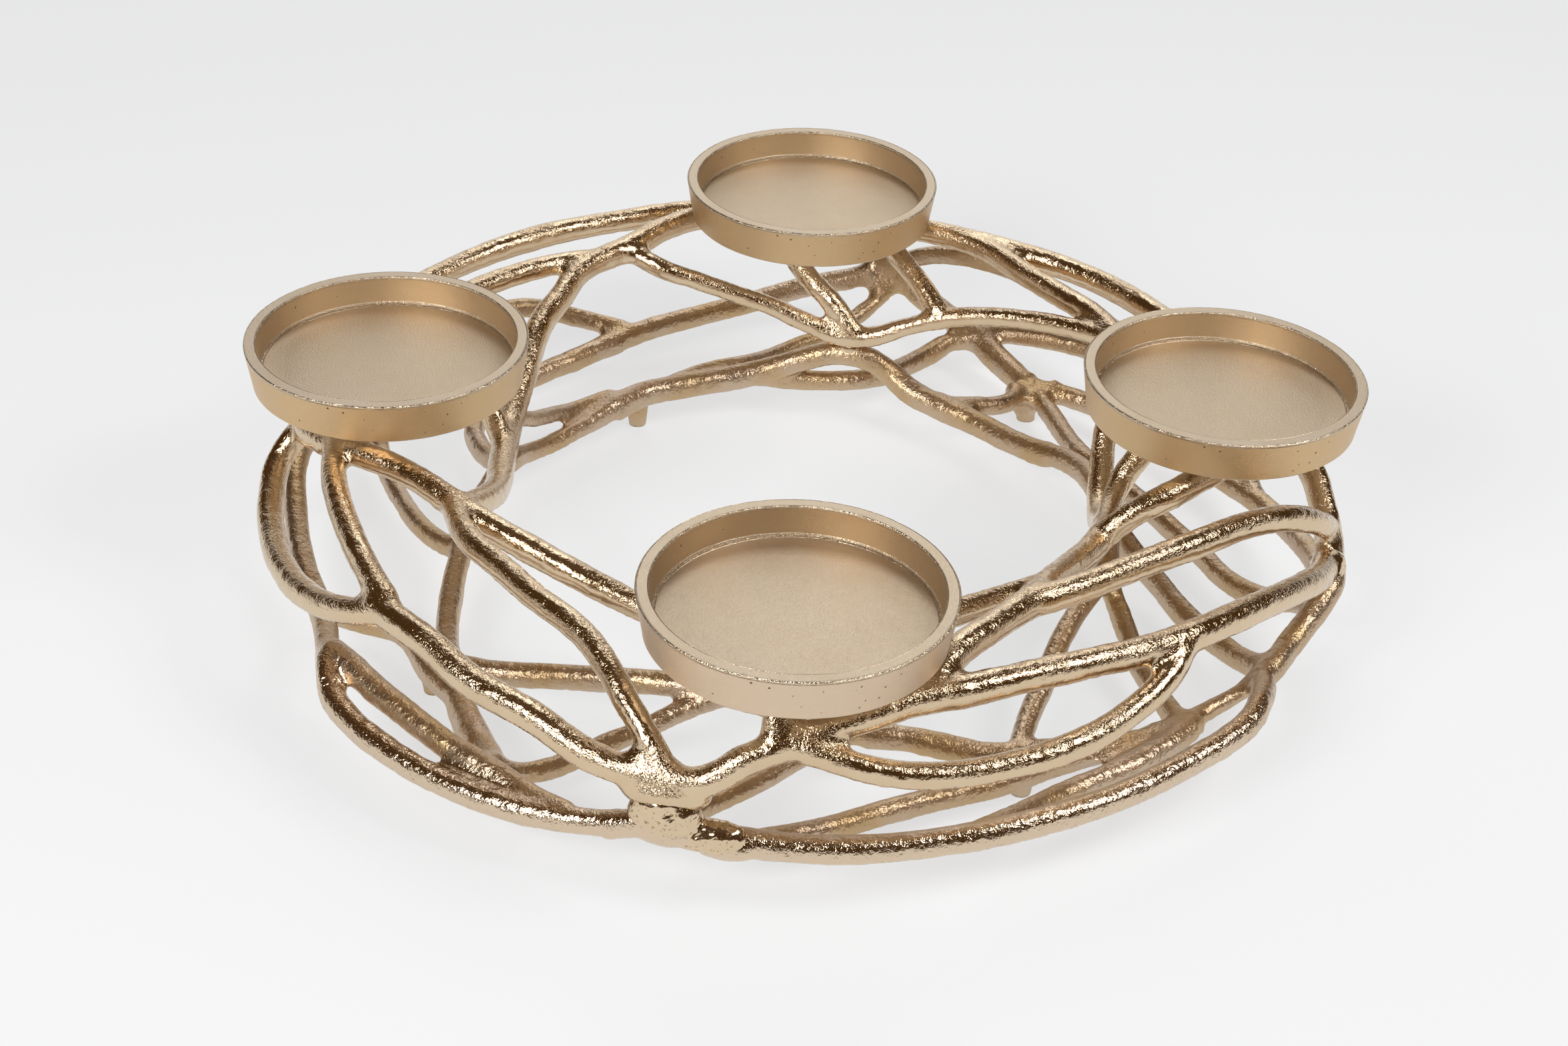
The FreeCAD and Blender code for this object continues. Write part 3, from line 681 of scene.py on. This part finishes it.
def raw_branch(name, thickness, route, section, rng):
    """A smooth bar along a branch's route."""
    curve = bpy.data.curves.new(name, "CURVE")
    curve.dimensions = "3D"
    curve.twist_mode = "Z_UP"
    curve.bevel_mode = "OBJECT"
    curve.bevel_object = section
    curve.use_fill_caps = True
    curve.resolution_u = ROUTE_STEPS
    spline = curve.splines.new("BEZIER")
    spline.bezier_points.add(len(route) - 1)
    for point, stop in zip(spline.bezier_points, route):
        girth = stop[3] if len(stop) > 3 else 1.0
        point.co = wreath_point(*stop[:3])
        point.handle_left_type = "AUTO"
        point.handle_right_type = "AUTO"
        point.radius = thickness / 2 * MM * girth * rng.uniform(THINNEST_GIRTH, THICKEST_GIRTH)
    obj = bpy.data.objects.new(name, curve)
    bpy.context.collection.objects.link(obj)
    only(obj)
    bpy.ops.object.convert(target="MESH")
    return bpy.context.active_object


def peg(bearing, radius, low, top, low_radius, high_radius):
    """A tapered peg between two heights, in millimetres."""
    bpy.ops.mesh.primitive_cone_add(vertices=48, radius1=low_radius * MM, radius2=high_radius * MM,
                                    depth=(top - low) * MM,
                                    location=at_bearing(bearing, radius, (top + low) / 2) * MM)
    return settle(bpy.context.active_object)


def trim_to_ground(obj):
    """Cuts what reaches below the ground off flat."""
    only(obj)
    bpy.ops.object.mode_set(mode="EDIT")
    bpy.ops.mesh.select_all(action="SELECT")
    bpy.ops.mesh.bisect(plane_co=(0, 0, 0), plane_no=(0, 0, 1), use_fill=True, clear_inner=True)
    bpy.ops.object.mode_set(mode="OBJECT")
    return obj


def casting(name, branches, webs, extras, seed):
    """The branches and extras melted into one casting, with rounded crotches and an uneven skin."""
    rng = random.Random(seed)
    section = branch_section()
    crotches = junctions(branches, webs)
    bars = [raw_branch(key, size, route, section, rng) for key, (size, route) in branches.items()]
    for bar in bars + extras:
        modify(bar, "REMESH", mode="VOXEL", voxel_size=GRAIN)
        offset(bar, crotches, 1)
    obj = join(bars + extras, name)
    bpy.data.objects.remove(section)
    modify(obj, "REMESH", mode="VOXEL", voxel_size=GRAIN)
    offset(obj, crotches, -1)
    modify(obj, "REMESH", mode="VOXEL", voxel_size=GRAIN)
    modify(obj, "DECIMATE", ratio=KEPT_FACES)
    modify(obj, "SMOOTH", factor=0.5, iterations=2)
    ripple(obj, "waves", SKIN_WAVE_SIZE, SKIN_WAVE_HEIGHT)
    ripple(obj, "pits", SKIN_PIT_SIZE, SKIN_PIT_DEPTH)
    return smooth(trim_to_ground(obj))


# ---------------------------------------------------------------- the cups
CUP_STEPS = 192
CUP_SHARP_ANGLE = 28
CUP_WOBBLE_SIZE = 20.0 * MM
CUP_WOBBLE = 0.25 * MM


def cup_profile():
    """Radius and height of the cup's outline, from the middle of its floor round to its underside."""
    return [
        (CUP_FLOOR_RADIUS * 0.55, CUP_FLOOR_HEIGHT),
        (CUP_FLOOR_RADIUS * 0.8, CUP_FLOOR_HEIGHT),
        (CUP_FLOOR_RADIUS - 0.5 * MM, CUP_FLOOR_HEIGHT),
        (CUP_FLOOR_RADIUS + 0.1 * MM, CUP_FLOOR_HEIGHT + 0.25 * MM),
        (CUP_FLOOR_RADIUS + 0.25 * MM, CUP_FLOOR_HEIGHT + 0.8 * MM),
        (CUP_BORE_RADIUS - 0.1 * MM, RIM_HEIGHT - 1.2 * MM),
        (CUP_BORE_RADIUS, RIM_HEIGHT - 0.35 * MM),
        (CUP_BORE_RADIUS + 0.3 * MM, RIM_HEIGHT),
        (CUP_RIM_RADIUS - 0.35 * MM, RIM_HEIGHT),
        (CUP_RIM_RADIUS, RIM_HEIGHT - 0.35 * MM),
        (CUP_RIM_RADIUS - 0.15 * MM, RIM_HEIGHT - 1.4 * MM),
        (CUP_BASE_RADIUS + 0.1 * MM, CUP_FOOT_HEIGHT + 1.4 * MM),
        (CUP_BASE_RADIUS, CUP_FOOT_HEIGHT + 0.5 * MM),
        (CUP_BASE_RADIUS - 0.5 * MM, CUP_FOOT_HEIGHT),
        (CUP_BASE_RADIUS * 0.5, CUP_FOOT_HEIGHT),
    ]


def cup(name, bearing, reach):
    """A cup turned up ring by ring from the middle of its floor."""
    centre = at_bearing(bearing, reach, 0.0)
    profile = cup_profile()
    radius, height = profile[0]
    deselect()
    bpy.ops.mesh.primitive_circle_add(vertices=CUP_STEPS, radius=radius, fill_type="TRIFAN",
                                      location=centre + Vector((0, 0, height)))
    obj = named(name)
    settle(obj)
    bpy.ops.object.mode_set(mode="EDIT")
    bpy.ops.mesh.select_mode(type="EDGE")
    bpy.ops.mesh.select_all(action="DESELECT")
    bpy.ops.mesh.select_non_manifold()
    for next_radius, next_height in profile[1:]:
        bpy.ops.mesh.extrude_edges_move(
            TRANSFORM_OT_translate={"value": (0, 0, next_height - height)})
        grow = next_radius / radius
        bpy.ops.transform.resize(value=(grow, grow, 1), center_override=centre + Vector((0, 0, next_height)))
        radius, height = next_radius, next_height
    bpy.ops.mesh.edge_face_add()
    bpy.ops.mesh.select_all(action="SELECT")
    bpy.ops.mesh.normals_make_consistent(inside=False)
    bpy.ops.object.mode_set(mode="OBJECT")
    ripple(obj, "wobble", CUP_WOBBLE_SIZE, CUP_WOBBLE)
    return smooth(obj, CUP_SHARP_ANGLE)


# ---------------------------------------------------------------- weld metal
# Each weld's lumps: bearing, radius, height, and half sizes along, across and upright, in millimetres.
WELDS = {
    "front_weld": [(258.7, 175.2, 29.4, (8.8, 4.4, 6.8)), (262.8, 175.2, 24.0, (9.0, 3.6, 4.4))],
    "right_weld": [(347.6, 175.6, 32.5, (6.6, 4.8, 6.0))],
    "back_weld": [(80.5, 102.4, 31.0, (4.2, 3.0, 3.2))],
}
UPPER_WELD_ROOTS = [(258.5, 173.4, 37.0, (11.0, 4.6, 4.8))]
LOWER_WELD_ROOTS = [(259.0, 174.6, 24.5, (9.0, 4.6, 4.2)), (264.5, 174.4, 20.8, (8.0, 3.8, 3.4))]
WELD_GRAIN = 0.5 * MM
WELD_FACET_SIZE = 6.0 * MM
WELD_FACET_HEIGHT = 1.2 * MM
WELD_RIPPLE_SIZE = 2.2 * MM
WELD_RIPPLE_HEIGHT = 0.4 * MM
LUMP_CUTS = 9
LUMP_ROUNDNESS = 0.9


def lump(bearing, radius, height, halves):
    """A rounded block."""
    deselect()
    bpy.ops.mesh.primitive_cube_add(size=2.0, location=(0, 0, 0))
    obj = bpy.context.active_object
    bpy.ops.object.mode_set(mode="EDIT")
    bpy.ops.mesh.subdivide(number_cuts=LUMP_CUTS)
    bpy.ops.object.mode_set(mode="OBJECT")
    modify(obj, "CAST", cast_type="SPHERE", factor=LUMP_ROUNDNESS)
    along, across, upright = halves
    obj.scale = (across * MM, along * MM, upright * MM)
    obj.rotation_euler = (0, 0, math.radians(bearing))
    obj.location = at_bearing(bearing, radius, height) * MM
    return settle(obj)


def weld(name, lumps):
    """Lumps of filler metal run together and dressed with a grinder into soft facets."""
    obj = join([lump(*sizes) for sizes in lumps], name)
    modify(obj, "REMESH", mode="VOXEL", voxel_size=WELD_GRAIN)
    modify(obj, "SMOOTH", factor=0.6, iterations=8)
    ripple(obj, "facets", WELD_FACET_SIZE, WELD_FACET_HEIGHT, 1)
    ripple(obj, "ripples", WELD_RIPPLE_SIZE, WELD_RIPPLE_HEIGHT)
    return smooth(obj)


# ---------------------------------------------------------------- assembly
def build_castings():
    seat_top = CUP_FOOT_HEIGHT / MM
    seats = [peg(bearing, reach / MM, seat_top - SEAT_DEPTH, seat_top, SEAT_LOW_RADIUS, SEAT_RADIUS)
             for bearing, reach in CUPS.values()]
    roots = [lump(*sizes) for sizes in UPPER_WELD_ROOTS]
    upper = casting("upper_casting", UPPER_BRANCHES, UPPER_WEBS, seats + roots, UPPER_SEED)
    paint(upper, polished_casting())
    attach(upper, "root")
    # The post under the front cup is a branch here and part of the node cup_seats in the CAD model.
    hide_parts(*[n for n in UPPER_BRANCHES if n.startswith("upper")], "cup_seats")

    feet = [peg(bearing, radius, -FOOT_SPARE, top, FOOT_TIP_RADIUS, FOOT_TOP_RADIUS)
            for bearing, radius, top in FEET]
    roots = [lump(*sizes) for sizes in LOWER_WELD_ROOTS]
    lower = casting("lower_casting", LOWER_BRANCHES, LOWER_WEBS, feet + roots, LOWER_SEED)
    paint(lower, satin_casting())
    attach(lower, "root")
    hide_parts(*LOWER_BRANCHES, "feet")


def build_welds():
    finish = dressed_weld()
    for name, lumps in WELDS.items():
        obj = paint(weld(name, lumps), finish)
        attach(obj, "root")
        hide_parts("welds")


def build_cups():
    for name, (bearing, reach) in CUPS.items():
        # The front cup gets a lighter wall and a darker bore: painted light and painted shade on a cup like
        # the others.
        tones = (FRONT_WALL_PAINTED_LIGHT_GOLD, FRONT_BORE_PAINTED_SHADE_GOLD) if name == "front" else (WALL_GOLD, BORE_GOLD)
        finish = turned_cup("satin_" + name + "_cup_gold", at_bearing(bearing, reach, 0.0), *tones)
        obj = paint(cup(name + "_candle_cup", bearing, reach), finish)
        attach(obj, "root")
        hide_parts(name + "_cup")


# ---------------------------------------------------------------- stage
# The photograph's camera, solved from the rims of the four cups. Its lens is in millimetres.
CAMERA_PLACE = Vector((-4.78, -730.4, 486.75)) * MM
CAMERA_PITCH = math.radians(32.71)
CAMERA_ROLL = math.radians(2.53)
CAMERA_LENS = 58.79
SENSOR_WIDTH = 36.0

ROOM_WALL = (0.075, 0.042, 0.019, 1)
ROOM_CEILING = (0.12, 0.08, 0.05, 1)
BACKDROP_WHITE = (0.97, 0.97, 0.98, 1)
FLOOR_WHITE = (0.965, 0.985, 1.0, 1)
FLOOR_GLOW = 0.65
FLOOR_SIZE = 8.0
FLOOR_DROP = 0.2 * MM  # below the feet, so that the two never coincide

# Each lamp: place, what it points at, size across and upright, and power.
SOFTBOXES = {
    "front_left_softbox": ((-0.633, -0.903, 0.74), (0, 0, 0), (0.62, 0.42), 9.6),
    "right_softbox": ((0.755, -0.275, 0.892), (0, 0, 0), (0.45, 0.42), 5.0),
    "back_softbox": ((0.05, 1.25, 1.55), (0, 0.2, 0), (0.5, 0.6), 3.4),
}


def build_camera():
    data = bpy.data.cameras.new("camera")
    data.sensor_width = SENSOR_WIDTH
    data.lens = CAMERA_LENS
    camera = bpy.data.objects.new("camera", data)
    bpy.context.collection.objects.link(camera)
    bpy.context.scene.camera = camera
    forward = Vector((0, math.cos(CAMERA_PITCH), -math.sin(CAMERA_PITCH)))
    right = Vector((1, 0, 0))
    up = right.cross(forward)
    image_right = right * math.cos(CAMERA_ROLL) + up * math.sin(CAMERA_ROLL)
    image_up = up * math.cos(CAMERA_ROLL) - right * math.sin(CAMERA_ROLL)
    turn = Matrix((image_right, image_up, -forward)).transposed().to_4x4()
    camera.matrix_world = Matrix.Translation(CAMERA_PLACE) @ turn


def softbox(name, place, target, size, power):
    """A rectangular lamp that points at a target."""
    data = bpy.data.lights.new(name, "AREA")
    data.shape = "RECTANGLE"
    data.size, data.size_y = size
    data.energy = power
    lamp = bpy.data.objects.new(name, data)
    bpy.context.collection.objects.link(lamp)
    lamp.location = place
    lamp.rotation_euler = (Vector(target) - Vector(place)).to_track_quat("-Z", "Y").to_euler()


def build_floor():
    """A white floor. What the camera and the metal see of it is lifted, and keeps the shadows."""
    deselect()
    bpy.ops.mesh.primitive_plane_add(size=FLOOR_SIZE, location=(0, 0, -FLOOR_DROP))
    floor = named("floor")
    f = Finish("white_sweep")
    f.set(Base_Color=BACKDROP_WHITE, Roughness=0.8)
    path = f.node("ShaderNodeLightPath")
    seen = Value(f.tree, path.outputs["Is Camera Ray"]) + Value(f.tree, path.outputs["Is Glossy Ray"])
    glow = f.node("ShaderNodeEmission", Color=FLOOR_WHITE, Strength=1.0)
    mix = f.node("ShaderNodeMixShader")
    plug(f.tree, mix.inputs[0], seen.clamp() * FLOOR_GLOW)
    plug(f.tree, mix.inputs[1], f.shader.outputs[0])
    plug(f.tree, mix.inputs[2], glow.outputs[0])
    plug(f.tree, f.tree.nodes["Material Output"].inputs["Surface"], mix.outputs[0])
    paint(floor, f)


def build_world():
    """A dim warm room with a white backdrop behind the wreath. The camera sees white all round."""
    world = bpy.data.worlds.new("studio")
    bpy.context.scene.world = world
    world.use_nodes = True
    w = Graph(world.node_tree)
    way = w.node("ShaderNodeTexCoord").outputs["Generated"]
    x = w.part(way, "X")
    y = w.part(way, "Y")
    z = w.part(way, "Z")
    behind = (y / (x * x + y * y) ** 0.5).ramp(0.84, 0.96)
    low = 1 - z.ramp(0.58, 0.78)
    ceiling = z.ramp(0.75, 0.98)
    room = w.blend(ceiling, ROOM_WALL, ROOM_CEILING)
    lighting = w.blend(behind * low, room, BACKDROP_WHITE)
    seen = w.node("ShaderNodeLightPath").outputs["Is Camera Ray"]
    plug(w.tree, w.tree.nodes["Background"].inputs["Color"], w.blend(seen, lighting, BACKDROP_WHITE))


def build_lamps():
    for name, settings in SOFTBOXES.items():
        softbox(name, *settings)


def main():
    build_castings()
    build_welds()
    build_cups()
    build_floor()
    build_world()
    build_camera()
    build_lamps()
    bpy.context.scene.view_settings.view_transform = "Standard"


main()
